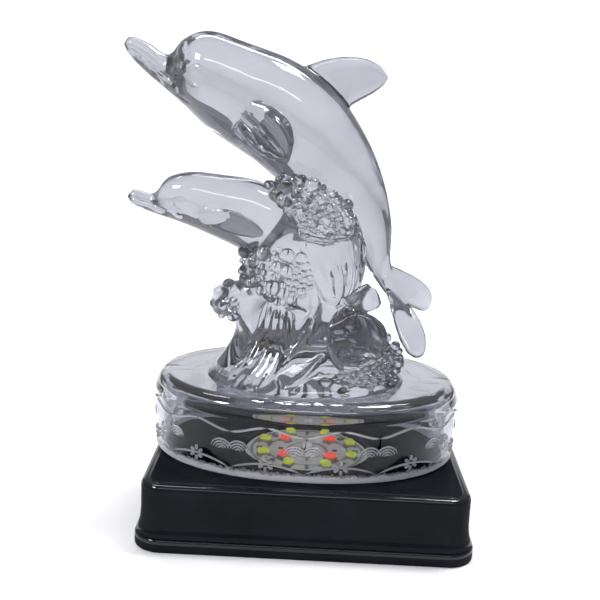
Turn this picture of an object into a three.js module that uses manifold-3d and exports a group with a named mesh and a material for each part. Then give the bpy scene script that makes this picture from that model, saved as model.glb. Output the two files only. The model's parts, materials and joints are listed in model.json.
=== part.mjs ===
// Clear acrylic dolphin ornament on a black light base, in millimetres, +Z up.
// Two leaping dolphins, a breaking wave, its foam and an oval plinth are one clear moulding.
// The plinth is hollow and open below. It stands on a hollow black housing, over a round board of
// light chips that lies in the housing's well.
// The dolphins face -X and the front is -Y. Sizes are set about the middle of the housing's foot,
// and the last lines put the origin below the middle of the whole ornament.
import * as THREE from 'three';
import { mergeVertices } from 'three/addons/utils/BufferGeometryUtils.js';
import Module from 'manifold-3d';

const wasm = await Module();
wasm.setup();

// ---------------------------------------------------------------- driving sizes

const GAP = 0.3; // clearance between pieces that touch

const HOUSING = {
  halfWidth: 50,
  halfDepth: 40,
  corner: 8.5,
  foot: 4, // height of the straight foot band
  cove: 12, // height at which the hollow moulding meets the wall
  flare: 1.8, // how far the foot stands out from the wall
  shoulder: 1.5, // radius of the wall's top edge
  panel: 0.4, // height of the raised deck panel
  deck: 20.2,
  wall: 2,
  cornerSteps: 5,
};
const WELL = { radius: 20.5, depth: 3, floor: 1.6, wall: 2, steps: 32 };
const BOARD = { radius: 19.6, thickness: 1.2 };
const CHIP = { length: 3.5, width: 2.8, height: 1.9 };
const CHIP_RINGS = [
  { colour: 'white', count: 1, radius: 0, start: 0 },
  { colour: 'red', count: 4, radius: 10.4, start: Math.PI / 4 },
  { colour: 'green', count: 8, radius: 15, start: Math.PI / 8 },
];

const PLINTH = {
  bottom: HOUSING.deck + GAP,
  centre: { x: -1.2, y: 1.3 }, // it is glued a little off the middle of the deck
  halfWidth: 48.2,
  halfDepth: 34.5,
  power: 2.2, // of the superellipse, a little squarer than an ellipse
  draft: 0.6, // narrowing from rim to bottom
  lead: 0.8, // small bevel at the bottom edge
  rim: 39.7,
  bevel: 2.4,
  top: 44.1,
  wall: 3,
  steps: 52,
};

// ---------------------------------------------------------------- shared shape functions

const at = (x, y, z) => new THREE.Vector3(x, y, z);
const curve = (points) => new THREE.CatmullRomCurve3(points);
const edge = (...points) => new THREE.CubicBezierCurve3(...points);

// A value that changes smoothly through a few even stations as s goes from 0 to 1.
function graded(values) {
  const line = new THREE.SplineCurve(values.map((value, i) => new THREE.Vector2(i, value)));
  return (s) => line.getPoint(s).y;
}

function signedVolume(geometry) {
  const [a, b, c] = [at(0, 0, 0), at(0, 0, 0), at(0, 0, 0)];
  const { array } = geometry.index;
  const points = geometry.attributes.position;
  let volume = 0;
  for (let i = 0; i < array.length; i += 3) {
    a.fromBufferAttribute(points, array[i]);
    b.fromBufferAttribute(points, array[i + 1]);
    c.fromBufferAttribute(points, array[i + 2]);
    volume += a.dot(b.cross(c)) / 6;
  }
  return volume;
}

// Moves every vertex of a closed geometry by a rule, and makes a solid with its faces outwards.
function bent(geometry, rule) {
  const points = geometry.attributes.position;
  const point = at(0, 0, 0);
  for (let i = 0; i < points.count; i++) {
    point.fromBufferAttribute(points, i);
    const moved = rule(point);
    points.setXYZ(i, moved.x, moved.y, moved.z);
  }
  geometry.deleteAttribute('normal');
  geometry.deleteAttribute('uv');
  const merged = mergeVertices(geometry);
  const triVerts = new Uint32Array(merged.index.array);
  if (signedVolume(merged) < 0) triVerts.reverse();
  const vertProperties = new Float32Array(merged.attributes.position.array);
  return new wasm.Manifold(new wasm.Mesh({ numProp: 3, vertProperties, triVerts }));
}

const solid = (geometry) => bent(geometry, (point) => point);

// A ball drawn out between two edge curves. Its sections are ovals that reach from one curve to
// the other, and their breadth is a graded share of that reach. Both curves share their end
// points, so the poles close there.
function between(upper, lower, breadth, { around = 16, along = 18, side = at(0, 1, 0) } = {}) {
  const share = graded(breadth);
  return bent(new THREE.SphereGeometry(1, around, along), (point) => {
    const s = Math.acos(THREE.MathUtils.clamp(point.y, -1, 1)) / Math.PI;
    const top = upper.getPoint(s);
    const bottom = lower.getPoint(s);
    const middle = top.clone().add(bottom).multiplyScalar(0.5);
    if (Math.abs(point.y) > 1 - 1e-9) return middle;
    const angle = Math.atan2(point.z, point.x);
    const reach = top.sub(bottom).multiplyScalar(0.5);
    const half = reach.length() * share(s);
    const across = side.clone().cross(reach).cross(reach).setLength(-half);
    return middle.addScaledVector(reach, Math.cos(angle)).addScaledVector(across, Math.sin(angle));
  });
}

// A rounded strand along a curve: its radius is graded, with a ball end at each pole.
function strand(points, radii, { around = 8, along = 10, flat = 1 } = {}) {
  const line = curve(points);
  const radius = graded(radii);
  const forward = at(0, -1, 0);
  return bent(new THREE.SphereGeometry(1, around, along), (point) => {
    const s = Math.acos(THREE.MathUtils.clamp(point.y, -1, 1)) / Math.PI;
    const centre = line.getPoint(s);
    const run = line.getTangent(s);
    const sideways = run.clone().cross(forward).normalize();
    const outward = sideways.clone().cross(run).normalize();
    const end = Math.min(1, 2.2 * Math.sin(Math.PI * s));
    const angle = Math.atan2(point.z, point.x);
    const size = Math.abs(point.y) > 1 - 1e-9 ? 0 : radius(s) * end;
    return centre
      .addScaledVector(sideways, size * Math.cos(angle))
      .addScaledVector(outward, size * flat * Math.sin(angle));
  });
}

function union(solids) {
  return solids.reduce((whole, next) => whole.add(next));
}

function disc(radius, bottom, top, steps) {
  const cylinder = new THREE.CylinderGeometry(radius, radius, top - bottom, steps);
  cylinder.rotateX(Math.PI / 2);
  cylinder.translate(0, 0, (top + bottom) / 2);
  return solid(cylinder);
}

// A turned profile whose round plan is pulled out to another plan. The profile's radii are
// measured along +X, and plan(turn, inset) gives the outline that lies inset inside the widest.
function turned(profile, widest, steps, plan) {
  const points = profile.map(([radius, height]) => new THREE.Vector2(radius, height));
  return bent(new THREE.LatheGeometry(points, steps), (point) => {
    const radius = Math.hypot(point.x, point.z);
    if (radius < 1e-6) return at(0, 0, point.y);
    const turn = (Math.atan2(point.z, point.x) / (2 * Math.PI) + 1) % 1;
    const { x, y } = plan(turn, widest - radius);
    return at(x, y, point.y);
  });
}

// ---------------------------------------------------------------- black housing

const HOUSING_STEPS = 4 * (HOUSING.cornerSteps + 1);

function roundedPlan(turn, inset) {
  const step = Math.round(turn * HOUSING_STEPS) % HOUSING_STEPS;
  const quarter = Math.floor(step / (HOUSING.cornerSteps + 1));
  const along = (step % (HOUSING.cornerSteps + 1)) / HOUSING.cornerSteps;
  const angle = ((quarter + along) * Math.PI) / 2;
  const signX = quarter === 0 || quarter === 3 ? 1 : -1;
  const signY = quarter < 2 ? 1 : -1;
  const radius = HOUSING.corner - inset;
  return {
    x: signX * (HOUSING.halfWidth - HOUSING.corner) + radius * Math.cos(angle),
    y: signY * (HOUSING.halfDepth - HOUSING.corner) + radius * Math.sin(angle),
  };
}

const boxy = (profile) => turned(profile, HOUSING.halfWidth, HOUSING_STEPS, roundedPlan);

function quarterArc(centreX, centreZ, radius, steps) {
  return Array.from({ length: steps + 1 }, (_, i) => {
    const angle = (i / steps) * (Math.PI / 2);
    return [centreX + radius * Math.cos(angle), centreZ + radius * Math.sin(angle)];
  });
}

function housing() {
  const { halfWidth, foot, cove, flare, shoulder, panel, deck, wall } = HOUSING;
  const side = halfWidth - flare;
  const rimTop = deck - panel;
  const outside = [
    [0, 0],
    [halfWidth - 0.5, 0],
    [halfWidth, 0.5],
    [halfWidth, foot - 0.9],
    [halfWidth - 0.5, foot],
    [halfWidth - 0.65 * flare, foot + 1.2],
    [halfWidth - 0.9 * flare, foot + 3.8],
    [side, cove],
    ...quarterArc(side - shoulder, rimTop - shoulder, shoulder, 3),
    [side - shoulder - 0.8, rimTop],
    [side - shoulder - 1.1, deck],
    [0, deck],
  ];
  const inside = [
    [0, -1],
    [side - wall, -1],
    [side - wall, deck - wall - 1],
    [side - wall - 1, deck - wall],
    [0, deck - wall],
  ];
  const wellBottom = deck - WELL.depth;
  return boxy(outside)
    .subtract(boxy(inside))
    .add(disc(WELL.radius + WELL.wall, wellBottom - WELL.floor, deck - wall / 2, WELL.steps))
    .subtract(disc(WELL.radius, wellBottom, deck + 1, WELL.steps));
}

// ---------------------------------------------------------------- board and light chips

const boardBottom = HOUSING.deck - WELL.depth + GAP;
const boardTop = boardBottom + BOARD.thickness;

function chip(radius, turn) {
  const box = new THREE.BoxGeometry(CHIP.length, CHIP.width, CHIP.height);
  box.translate(radius, 0, boardTop + GAP + CHIP.height / 2);
  box.rotateZ(turn);
  return solid(box);
}

// ---------------------------------------------------------------- oval plinth

function ovalPlan(turn, inset) {
  const angle = turn * 2 * Math.PI;
  const bend = (value) => Math.sign(value) * Math.abs(value) ** (2 / PLINTH.power);
  return {
    x: (PLINTH.halfWidth - inset) * bend(Math.cos(angle)),
    y: (PLINTH.halfDepth - inset) * bend(Math.sin(angle)),
  };
}

function plinth() {
  const { bottom, centre, halfWidth, draft, lead, rim, bevel, top, steps } = PLINTH;
  const profile = [
    [0, bottom],
    [halfWidth - draft - lead, bottom],
    [halfWidth - draft, bottom + lead],
    [halfWidth, rim],
    [halfWidth - 0.3 * bevel, rim + 0.6 * (top - rim)],
    [halfWidth - bevel, top],
    [0, top],
  ];
  return turned(profile, halfWidth, steps, ovalPlan).translate([centre.x, centre.y, 0]);
}

// The hollow below the plinth's walls and top plate, cut through its bottom.
function plinthHollow() {
  const { bottom, centre, halfWidth, wall, top, steps } = PLINTH;
  const profile = [
    [0, bottom - 1],
    [halfWidth - wall, bottom - 1],
    [halfWidth - wall, top - 2 * wall],
    [halfWidth - 2 * wall, top - wall],
    [0, top - wall],
  ];
  return turned(profile, halfWidth, steps, ovalPlan).translate([centre.x, centre.y, 0]);
}

// ---------------------------------------------------------------- dolphins

// Side view stations from beak to tail: back x, back z, belly x, belly z.
const BIG = {
  lane: 3, // y of the body's mid-plane
  stations: [
    [-61.3, 143, -61.3, 143],
    [-59.3, 145.2, -59.5, 140],
    [-53.5, 143.6, -54.5, 135.2],
    [-47.7, 140.6, -48.6, 130.6],
    [-43, 145.4, -42.8, 126],
    [-36, 148, -36, 120],
    [-23, 144.8, -28.8, 115.2],
    [-9, 140.1, -20.5, 110.2],
    [3.5, 131.8, -12, 103.5],
    [13, 119.5, -5.5, 97.5],
    [19.3, 106.3, 2, 92.3],
    [22.7, 92.7, 10.5, 86.6],
    [23.4, 80, 15.7, 79],
    [27.5, 70, 24.5, 68.5],
    [29.5, 67, 29.5, 67],
  ],
  breadth: [0.9, 0.8, 0.9, 0.88, 0.86, 0.86, 0.8, 0.6],
};
const SMALL = {
  lane: -8,
  stations: [
    [-57.8, 98.7, -57.8, 98.7],
    [-55.6, 101, -56, 96.6],
    [-49.8, 100.1, -50.3, 94.3],
    [-45.6, 104.9, -45.4, 92.9],
    [-39, 106.9, -39.3, 91],
    [-29, 106.5, -31.5, 88],
    [-19, 105.3, -23, 84.3],
    [-8, 100, -16, 79.5],
    [0, 90, -11, 74],
    [5, 78, -6, 68],
    [6.8, 68, -0.5, 62],
    [7.5, 60, 7.5, 60],
  ],
  breadth: [0.95, 0.85, 0.9, 0.9, 0.86, 0.7, 0.6],
};

function body({ lane, stations, breadth }, mesh) {
  const back = curve(stations.map(([x, z]) => at(x, lane, z)));
  const belly = curve(stations.map(([, , x, z]) => at(x, lane, z)));
  return between(back, belly, breadth, mesh);
}

// A fin blade: its front edge and its rear edge run from their roots to one tip, and its
// thickness is a share of its chord.
function fin(front, rear, thickness) {
  const chord = front[0].clone().sub(rear[0]);
  const span = front[3].clone().sub(rear[0]);
  const side = chord.cross(span).normalize();
  const breadth = [thickness, thickness, 0.9 * thickness, thickness];
  // The roots meet inside the body, so the blade closes there too.
  const root = front[0].clone().add(rear[0]).multiplyScalar(0.5);
  const closed = (points) => {
    const line = edge(...points).getPoints(6);
    return curve([root, ...line]);
  };
  return between(closed(front), closed(rear), breadth, { around: 8, along: 8, side });
}

function bigDolphin() {
  const y = BIG.lane;
  const shape = body(BIG, { around: 16, along: 24 });
  const dorsal = fin(
    [at(-10, y, 137), at(0, y, 144), at(14, y, 144), at(19, y, 136.8)],
    [at(6, y, 126), at(9, y, 130), at(13.5, y, 132.5), at(19, y, 136.8)],
    0.2,
  );
  const nearFlipper = fin(
    [at(-27.5, -7, 127), at(-17, -13, 130.5), at(-4.5, -17, 126), at(-9.5, -17, 111)],
    [at(-25.5, -7, 118.5), at(-20.5, -12, 116), at(-14, -16, 110), at(-9.5, -17, 111)],
    0.22,
  );
  const farFlipper = fin(
    [at(-27.5, 13, 125), at(-20, 19, 127), at(-9, 24, 122), at(-12, 25, 109)],
    [at(-26, 13, 117), at(-23, 18, 114), at(-17, 23, 108.5), at(-12, 25, 109)],
    0.22,
  );
  const rearFluke = fin(
    [at(21, y, 80.5), at(27.5, 8, 76.5), at(38.5, 13, 71), at(38.7, 16, 63.5)],
    [at(26, y, 67), at(30.5, 5, 67.8), at(34, 11, 64), at(38.7, 16, 63.5)],
    0.24,
  );
  const frontFluke = fin(
    [at(20, y, 80), at(23.5, -4, 73), at(26, -13, 57), at(34.5, -13.5, 55.5)],
    [at(27, y, 66), at(32, -2, 68.5), at(35, -9, 62), at(34.5, -13.5, 55.5)],
    0.24,
  );
  return union([shape, dorsal, nearFlipper, farFlipper, rearFluke, frontFluke]);
}

function smallDolphin() {
  const y = SMALL.lane;
  const shape = body(SMALL, { around: 14, along: 18 });
  const nearFlipper = fin(
    [at(-36, -13, 96), at(-29, -17, 101), at(-19, -20, 97), at(-14.5, -20, 91)],
    [at(-34, -13, 93), at(-30, -16, 92), at(-22, -19, 89.5), at(-14.5, -20, 91)],
    0.3,
  );
  const upperFluke = fin(
    [at(1, y, 60), at(1.5, -15, 71), at(9, -17, 76.5), at(17, -16, 77.5)],
    [at(10, y, 54), at(17, -16, 62), at(20, -17, 70), at(17, -16, 77.5)],
    0.2,
  );
  const lowerFluke = fin(
    [at(1, y, 66), at(0.5, -16, 55), at(8, -20, 47), at(22, -18, 56)],
    [at(10, y, 68), at(15, -16, 67), at(23.5, -18, 63), at(22, -18, 56)],
    0.2,
  );
  return union([shape, nearFlipper, upperFluke, lowerFluke]);
}

// ---------------------------------------------------------------- wave and foam

// The water that carries both dolphins: left and right edges at rising heights, with its depth
// as a share of its width.
function waterBody() {
  const lane = -3;
  const foot = PLINTH.top - 1;
  const sides = [
    [-33, 29, foot],
    [-26, 25, 50],
    [-20, 20, 59],
    [-19, 15, 70],
    [-19, 14, 82],
    [-14, 12, 94],
    [-9, 7, 102],
  ];
  const low = at(-2, lane, foot - 2);
  const high = at(-3, -1, 107);
  const left = curve([low, ...sides.map(([x, , z]) => at(x, lane, z)), high]);
  const right = curve([low, ...sides.map(([, x, z]) => at(x, lane, z)), high]);
  return between(left, right, [0.7, 0.72, 0.68, 0.72, 0.75, 0.8], { around: 14, along: 11 });
}

// The crest that curls over to the left and runs down to the plinth.
function curl() {
  const crest = strand(
    [at(-14, -9, 76), at(-20, -9, 70), at(-20, -8, 60), at(-22.5, -8, 51), at(-28, -8, 41)],
    [5, 5, 4, 5, 7],
    { around: 9, along: 8, flat: 1.4 },
  );
  const roll = strand(
    [at(-16, -9, 72), at(-22, -10, 71.5), at(-26.5, -9.5, 69), at(-25.5, -9, 65)],
    [4, 4, 5, 4.6],
    { around: 9, along: 6, flat: 1.4 },
  );
  return crest.add(roll);
}

// Flutes of falling water, fanned out over the front or the back of the wave.
function flutes({ count, topX, topZ, footX, footZ, topY, footY, radius, sway }) {
  return Array.from({ length: count }, (_, i) => {
    const share = i / (count - 1);
    const mix = ([first, last]) => THREE.MathUtils.lerp(first, last, share);
    const top = at(mix(topX), topY, mix(topZ));
    const foot = at(mix(footX), footY, mix(footZ));
    const middle = top.clone().lerp(foot, 0.5).add(at(sway, (topY - footY) * 0.25, 0));
    return strand([top, middle, foot], [radius, 1.2 * radius, radius], { around: 6, along: 5 });
  });
}

// A patch of bubbles set out on a sunflower spiral over a swelling cushion.
function foam({ x, y, z, width, height, depth, tilt, count, bubble }) {
  const GOLDEN_ANGLE = Math.PI * (3 - Math.sqrt(5));
  const place = (u, v, w) => {
    const across = u * width * Math.cos(tilt) - v * height * Math.sin(tilt);
    const up = u * width * Math.sin(tilt) + v * height * Math.cos(tilt);
    return at(x + across, y + w * depth, z + up);
  };
  const cushion = bent(new THREE.SphereGeometry(0.94, 8, 6), (p) => place(p.x, p.y, p.z));
  const bubbles = Array.from({ length: count }, (_, i) => {
    const spread = Math.sqrt((i + 0.5) / count);
    const u = spread * Math.cos(i * GOLDEN_ANGLE);
    const v = spread * Math.sin(i * GOLDEN_ANGLE);
    const ball = new THREE.SphereGeometry(bubble * (1 + 0.2 * Math.cos(2.3 * i)), 6, 5);
    const centre = place(u, v, 0.94 * Math.sqrt(1 - spread * spread * 0.9));
    return bent(ball, (p) => centre.clone().add(p));
  });
  return [cushion, ...bubbles];
}

// A negative depth swells towards the front, a positive one towards the back.
const FOAM = [
  { x: -2.5, y: -9, z: 98, width: 15, height: 7.5, depth: -8, tilt: -0.45, count: 11, bubble: 2.4 },
  { x: -11, y: -11, z: 79.5, width: 12, height: 9.5, depth: -8, tilt: -0.3, count: 9, bubble: 2.6 },
  { x: 12, y: -13, z: 49, width: 14, height: 7, depth: -9, tilt: 0.25, count: 11, bubble: 2.7 },
  { x: -26, y: -10, z: 69, width: 4, height: 4.5, depth: -7, tilt: 0, count: 3, bubble: 2 },
  { x: -3, y: 6, z: 92, width: 12, height: 8, depth: 11, tilt: -0.3, count: 6, bubble: 2.9 },
  { x: 11, y: 10, z: 50, width: 14, height: 7, depth: 9, tilt: 0.2, count: 6, bubble: 2.9 },
];

function wave() {
  const column = {
    count: 4,
    topX: [-2, 12],
    topZ: [91, 91],
    footX: [4, 13],
    footZ: [71, 77],
    topY: -11,
    footY: -12,
    radius: 1.9,
    sway: 1.4,
  };
  const apron = {
    count: 5,
    topX: [-19, -2],
    topZ: [60, 70],
    footX: [-26, 0],
    footZ: [43, 43],
    topY: -13,
    footY: -21,
    radius: 2.2,
    sway: 1.5,
  };
  const back = {
    count: 5,
    topX: [-13, 9],
    topZ: [82, 80],
    footX: [-27, 4],
    footZ: [43, 43],
    topY: 7,
    footY: 17,
    radius: 2.6,
    sway: -1,
  };
  return union([
    waterBody(),
    curl(),
    ...[column, apron, back].flatMap(flutes),
    ...FOAM.flatMap(foam),
  ]);
}

// ---------------------------------------------------------------- assembly

function finish(colour, roughness, extra = {}) {
  return new THREE.MeshStandardMaterial({ color: colour, roughness, metalness: 0, ...extra });
}

const FINISHES = {
  acrylic: finish('#dfe3ee', 0.05, { transparent: true, opacity: 0.45 }),
  black: finish('#0c0e12', 0.18),
  board: finish('#e9ebe2', 0.5),
  white: finish('#f4f4ee', 0.4),
  red: finish('#ff3b2a', 0.4),
  green: finish('#c8e45a', 0.4),
};

function mesh(name, shape, material) {
  const { vertProperties, triVerts } = shape.getMesh();
  const geometry = new THREE.BufferGeometry();
  geometry.setAttribute('position', new THREE.BufferAttribute(vertProperties, 3));
  geometry.setIndex(new THREE.BufferAttribute(triVerts, 1));
  geometry.computeVertexNormals();
  const result = new THREE.Mesh(geometry, material);
  result.name = name;
  return result;
}

const ornament = new THREE.Group();
ornament.add(mesh('base_housing', housing(), FINISHES.black));
ornament.add(mesh('light_board', disc(BOARD.radius, boardBottom, boardTop, WELL.steps), FINISHES.board));

const figures = union([plinth(), wave(), bigDolphin(), smallDolphin()]);
const crystal = figures.subtract(plinthHollow());
ornament.add(mesh('crystal_dolphins', crystal, FINISHES.acrylic));

for (const { colour, count, radius, start } of CHIP_RINGS) {
  for (let i = 0; i < count; i++) {
    const turn = start + (i / count) * 2 * Math.PI;
    ornament.add(mesh(`light_chip_${colour}_${i + 1}`, chip(radius, turn), FINISHES[colour]));
  }
}

const size = new THREE.Box3().setFromObject(ornament);
const middle = size.getCenter(at(0, 0, 0));
ornament.position.set(-middle.x, -middle.y, -size.min.z);

const group = new THREE.Group();
group.add(ornament);
export default group;
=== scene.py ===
"""Clear acrylic dolphin ornament on a black light base.

The ornament is built in millimetres about the middle of the base's foot, -X the way the dolphins
look and -Y the front, and each finished piece is then placed in the frame in metres.
"""
import json
import math
import random

import bmesh
import bpy
import numpy as np
from mathutils import Matrix, Vector

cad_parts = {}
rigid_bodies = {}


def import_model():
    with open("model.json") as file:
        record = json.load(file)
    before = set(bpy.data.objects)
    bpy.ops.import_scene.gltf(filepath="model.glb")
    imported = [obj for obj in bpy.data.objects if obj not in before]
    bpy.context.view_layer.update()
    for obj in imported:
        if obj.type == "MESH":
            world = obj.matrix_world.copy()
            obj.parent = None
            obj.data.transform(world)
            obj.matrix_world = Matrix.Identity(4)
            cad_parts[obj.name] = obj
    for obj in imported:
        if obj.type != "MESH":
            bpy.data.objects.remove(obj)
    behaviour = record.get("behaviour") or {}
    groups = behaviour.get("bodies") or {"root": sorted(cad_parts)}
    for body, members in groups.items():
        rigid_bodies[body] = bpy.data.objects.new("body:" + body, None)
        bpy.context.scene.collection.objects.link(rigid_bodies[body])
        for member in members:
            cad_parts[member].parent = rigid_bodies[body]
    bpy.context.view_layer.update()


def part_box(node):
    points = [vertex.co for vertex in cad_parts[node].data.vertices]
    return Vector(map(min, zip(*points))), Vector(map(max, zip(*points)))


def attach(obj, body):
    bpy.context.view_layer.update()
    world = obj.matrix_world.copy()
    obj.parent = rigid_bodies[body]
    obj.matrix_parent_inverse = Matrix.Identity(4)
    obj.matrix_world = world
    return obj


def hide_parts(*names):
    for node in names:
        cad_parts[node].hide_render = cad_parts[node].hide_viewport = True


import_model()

# ---------------------------------------------------------------- driving sizes, in millimetres

MM = 0.001
housing_low, housing_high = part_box("base_housing")
board_low, board_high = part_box("light_board")
crystal_low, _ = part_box("crystal_dolphins")
MIDDLE = Vector(((housing_low[0] + housing_high[0]) / 2, (housing_low[1] + housing_high[1]) / 2, 0))
TO_FRAME = Matrix.Translation(MIDDLE) @ Matrix.Scale(MM, 4)

DECK = housing_high[2] / MM
BOARD_BOTTOM = board_low[2] / MM
BOARD_TOP = board_high[2] / MM
BOARD_RADIUS = (board_high[0] - board_low[0]) / MM / 2

HOUSING = {
    "half_width": (housing_high[0] - housing_low[0]) / MM / 2,
    "half_depth": (housing_high[1] - housing_low[1]) / MM / 2,
    "corner": 8.5,
    "foot": 4,
    "cove": 12,
    "flare": 1.8,
    "shoulder": 1.5,
    "panel": 0.4,
    "wall": 2,
    "corner_steps": 14,
}
WELL = {"radius": 20.5, "depth": 3, "floor": 1.6, "wall": 2}

PLINTH = {
    "bottom": crystal_low[2] / MM,
    "centre": (-1.2, 1.3),
    "half_width": 48.2,
    "half_depth": 34.5,
    "power": 2.2,
    "draft": 0.6,
    "lead": 0.5,
    "rim": 39.7,
    "bevel": 2.4,
    "top": 44.1,
    "wall": 3,
    "steps": 240,
}
REPEATS = 12  # of the plinth's frieze
VOXEL = 0.42  # of the remesh that melts the figures into one surface
FIGURES_TRIANGLES = 44000  # of the figures after their decimation
SHARP_EDGE = math.radians(35)

# ---------------------------------------------------------------- curves

def at(x, y, z):
    return Vector((x, y, z))


def flowing(points, s):
    """The point at share s of a smooth curve that passes through the points."""
    reach = (len(points) - 1) * min(max(s, 0), 1)
    i = min(int(reach), len(points) - 2)
    w = reach - i
    start, end = points[i], points[i + 1]
    before = points[i - 1] if i else start * 2 - end
    after = points[i + 2] if i + 2 < len(points) else end * 2 - start
    d1 = (end - start).length ** 0.5 or 1
    d0 = (start - before).length ** 0.5 or d1
    d2 = (after - end).length ** 0.5 or d1
    t1 = ((start - before) / d0 - (end - before) / (d0 + d1) + (end - start) / d1) * d1
    t2 = ((end - start) / d1 - (after - start) / (d1 + d2) + (after - end) / d2) * d1
    c2 = (end - start) * 3 - t1 * 2 - t2
    c3 = (start - end) * 2 + t1 + t2
    return start + t1 * w + c2 * w**2 + c3 * w**3


def graded(values, s):
    """A value that changes smoothly through a few even stations."""
    return flowing([at(i, value, 0) for i, value in enumerate(values)], s).y


def cubic(points, s):
    a, b, c, d = points
    r = 1 - s
    return a * r**3 + b * (3 * r * r * s) + c * (3 * r * s * s) + d * s**3


# ---------------------------------------------------------------- mesh helpers

def drawn_ball(bm, around, along, rule):
    """Adds a ball drawn out by a rule: rule(s) gives a section's middle and its two half axes."""
    verts = bmesh.ops.create_uvsphere(bm, u_segments=around, v_segments=along, radius=1)["verts"]
    sections = {}
    for vert in verts:
        step = round(math.acos(max(-1, min(1, vert.co.z))) / math.pi * along)
        if step not in sections:
            sections[step] = rule(step / along)
        middle, first, second = sections[step]
        angle = math.atan2(vert.co.y, vert.co.x)
        at_pole = step in (0, along)
        c, w = (0, 0) if at_pole else (math.cos(angle), math.sin(angle))
        vert.co = middle + first * c + second(c, w)
    return verts


def between(bm, upper, lower, breadth, around, along, side=Vector((0, 1, 0)), dish=0.0):
    """A ball drawn out between two edge curves, oval in section. Dish hollows both faces and so
    leaves a raised rim."""
    def section(s):
        top, bottom = upper(s), lower(s)
        reach = (top - bottom) / 2
        half = reach.length * graded(breadth, s)
        across = -side.cross(reach).cross(reach).normalized() * half if reach.length else side * 0
        return (top + bottom) / 2, reach, lambda c, w: across * w * (1 - dish * (1 - c * c) ** 2)
    return drawn_ball(bm, around, along, section)


def strand(bm, points, radii, around=12, along=24, flat=1.0, forward=Vector((0, -1, 0))):
    """A rounded strand along a curve."""
    def section(s):
        middle = flowing(points, s)
        run = (flowing(points, s + 0.01) - flowing(points, s - 0.01)).normalized()
        sideways = run.cross(forward).normalized()
        outward = sideways.cross(run).normalized()
        size = graded(radii, s) * min(1, 2.2 * math.sin(math.pi * s))
        return middle, sideways * size, lambda c, w: outward * (size * flat * w)
    return drawn_ball(bm, around, along, section)


def mesh_from(bm, name, placed=False):
    bmesh.ops.recalc_face_normals(bm, faces=bm.faces)
    if placed:
        bmesh.ops.transform(bm, matrix=TO_FRAME, verts=bm.verts)
    mesh = bpy.data.meshes.new(name)
    bm.to_mesh(mesh)
    bm.free()
    return mesh


def worked(mesh, *modifiers):
    """The mesh after a few modifiers, each a type and its settings."""
    workpiece = bpy.data.objects.new("workpiece", mesh)
    bpy.context.scene.collection.objects.link(workpiece)
    for kind, settings in modifiers:
        modifier = workpiece.modifiers.new(kind, kind)
        for setting, value in settings.items():
            setattr(modifier, setting, value)
    graph = bpy.context.evaluated_depsgraph_get()
    result = bpy.data.meshes.new_from_object(workpiece.evaluated_get(graph))
    bpy.data.objects.remove(workpiece)
    return result


def turned(profile, plan, steps):
    """A profile of (radius, height) spun round Z, its rings pulled out to plan(turn, radius)."""
    bm = bmesh.new()
    verts = [bm.verts.new((radius, 0, height)) for radius, height in profile]
    edges = [bm.edges.new(pair) for pair in zip(verts, verts[1:])]
    bmesh.ops.spin(
        bm, geom=verts + edges, cent=(0, 0, 0), axis=(0, 0, 1), angle=2 * math.pi, steps=steps,
        use_merge=True,
    )
    bmesh.ops.remove_doubles(bm, verts=bm.verts, dist=1e-4)
    for vert in bm.verts:
        radius = math.hypot(vert.co.x, vert.co.y)
        turn = math.atan2(vert.co.y, vert.co.x) / (2 * math.pi) % 1
        if radius > 1e-3:
            vert.co.x, vert.co.y = plan(turn, radius)
    return bm


def round_plan(turn, radius):
    return radius * math.cos(turn * 2 * math.pi), radius * math.sin(turn * 2 * math.pi)


def arc(centre_radius, centre_height, radius, steps, start=0.0, end=math.pi / 2):
    """Profile points on part of a circle."""
    angles = [start + (end - start) * i / steps for i in range(steps + 1)]
    return [
        (centre_radius + radius * math.cos(a), centre_height + radius * math.sin(a)) for a in angles
    ]


# ---------------------------------------------------------------- material maths

class Term:
    """A shader value that can be written in sums and products."""

    def __init__(self, finish, socket):
        self.finish, self.socket = finish, socket

    def _with(self, operation, first, second):
        inputs = {0: first, 1: second}
        return self.finish.node("ShaderNodeMath", {"operation": operation}, inputs)[0]

    def __add__(self, other):
        return self._with("ADD", self, other)

    __radd__ = __add__

    def __sub__(self, other):
        return self._with("SUBTRACT", self, other)

    def __rsub__(self, other):
        return self._with("SUBTRACT", other, self)

    def __mul__(self, other):
        return self._with("MULTIPLY", self, other)

    __rmul__ = __mul__

    def __gt__(self, other):
        return self._with("GREATER_THAN", self, other)


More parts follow.
